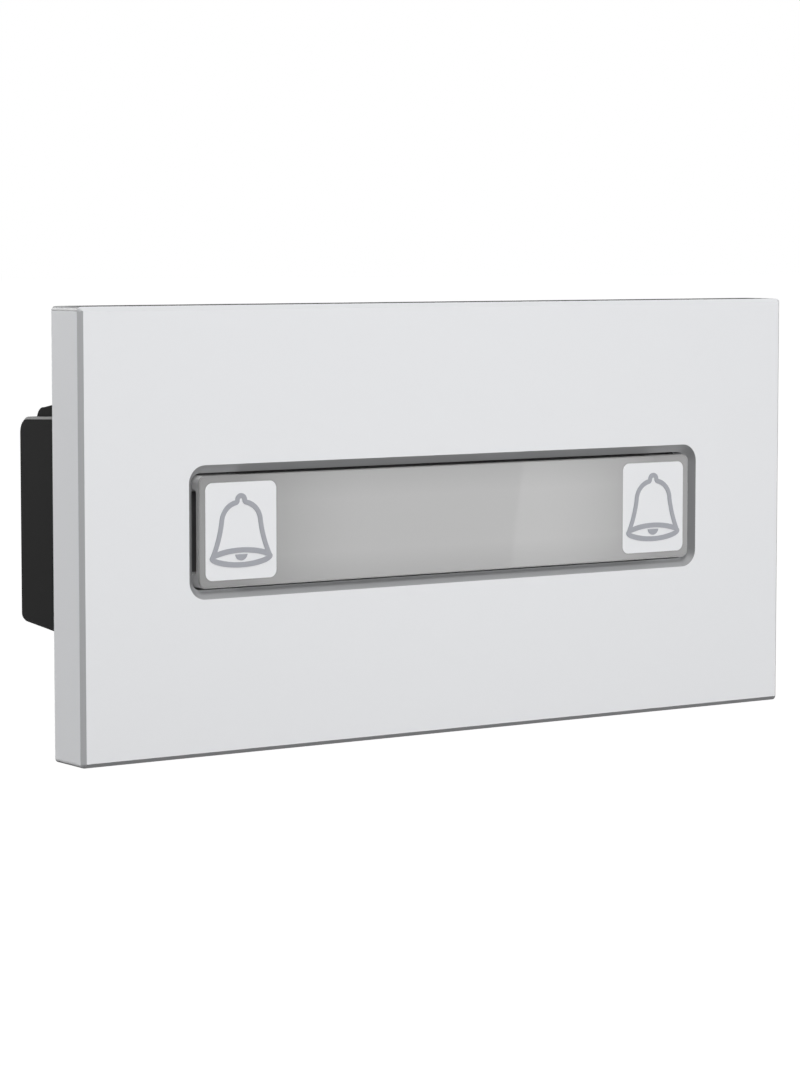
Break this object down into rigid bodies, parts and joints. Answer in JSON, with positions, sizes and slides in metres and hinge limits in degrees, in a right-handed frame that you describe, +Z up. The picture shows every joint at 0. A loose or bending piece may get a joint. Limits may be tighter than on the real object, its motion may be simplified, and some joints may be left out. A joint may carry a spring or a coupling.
{
  "type": "intercom call button module",
  "caption": "Flush intercom call button module with a long clear key, a bell pictogram at each end, a blank name card and a black tub behind the cover plate.",
  "frame": {"origin": "centre of the mounting plane, at the rear rim of the cover plate", "axes": "+X to the right seen from the front, +Z up, the face looks along -Y"},
  "size_m": [0.1, 0.0233, 0.0504],
  "materials": {
    "cover_plastic": "silver-white lacquered plastic with a fine grain",
    "black_plastic": "black glass-filled plastic, finely textured",
    "clear_plastic": "clear hard plastic, polished face",
    "pad_plastic": "white plastic, smooth",
    "print_grey": "grey pad print",
    "card_stock": "grey film card",
    "diffuser_plastic": "milky plastic",
    "grey_plastic": "dark grey moulded plastic",
    "spring_steel": "rolled spring strip",
    "screw_steel": "zinc-plated steel",
    "board_laminate": "green solder resist on glass laminate",
    "switch_plastic": "black moulded plastic",
    "plunger_plastic": "red moulded plastic",
    "lamp_plastic": "white lamp body with a yellowish window",
    "chip_plastic": "black moulded package",
    "capacitor_can": "drawn can on a black base",
    "socket_plastic": "natural moulded plastic",
    "pin_brass": "gilded contact pins",
    "foam": "closed-cell foam"
  },
  "bodies": {
    "module": {"front_plate": "cover_plastic", "window_seal": "foam", "guide_frame": "black_plastic", "return_spring_left": "spring_steel", "return_spring_right": "spring_steel", "circuit_board": "board_laminate", "switch_body_left": "switch_plastic", "switch_body_right": "switch_plastic", "backlight_left": "lamp_plastic", "backlight_middle": "lamp_plastic", "backlight_right": "lamp_plastic", "controller_chip": "chip_plastic", "driver_chip": "chip_plastic", "filter_capacitor": "capacitor_can", "bus_socket_in": "socket_plastic", "bus_socket_out": "socket_plastic", "socket_pins_in": "pin_brass", "socket_pins_out": "pin_brass", "board_screws": "screw_steel", "housing": "black_plastic", "mounting_gasket": "foam"},
    "key": {"key_lens": "clear_plastic", "bell_pad_left": "pad_plastic", "bell_pad_right": "pad_plastic", "bell_symbol_left": "print_grey", "bell_symbol_right": "print_grey", "name_card": "card_stock", "light_diffuser": "diffuser_plastic", "key_carrier": "grey_plastic"},
    "plunger_left": {"switch_plunger_left": "plunger_plastic"},
    "plunger_right": {"switch_plunger_right": "plunger_plastic"}
  },
  "joints": [
    {"name": "key_press", "type": "slide", "parent": "module", "child": "key", "axis": [0, 1, 0], "range_m": [0, 0.0008], "stiffness_N_per_m": 1200, "springref_m": -0.0007, "deforming": ["return_spring_left", "return_spring_right"]},
    {"name": "left_plunger_press", "type": "slide", "parent": "module", "child": "plunger_left", "axis": [0, 1, 0], "range_m": [0, 0.0008]},
    {"name": "right_plunger_press", "type": "slide", "parent": "module", "child": "plunger_right", "axis": [0, 1, 0], "range_m": [0, 0.0008]}
  ],
  "couplings": [
    {"joint": "left_plunger_press", "follows": "key_press", "ratio": 1},
    {"joint": "right_plunger_press", "follows": "key_press", "ratio": 1}
  ]
}
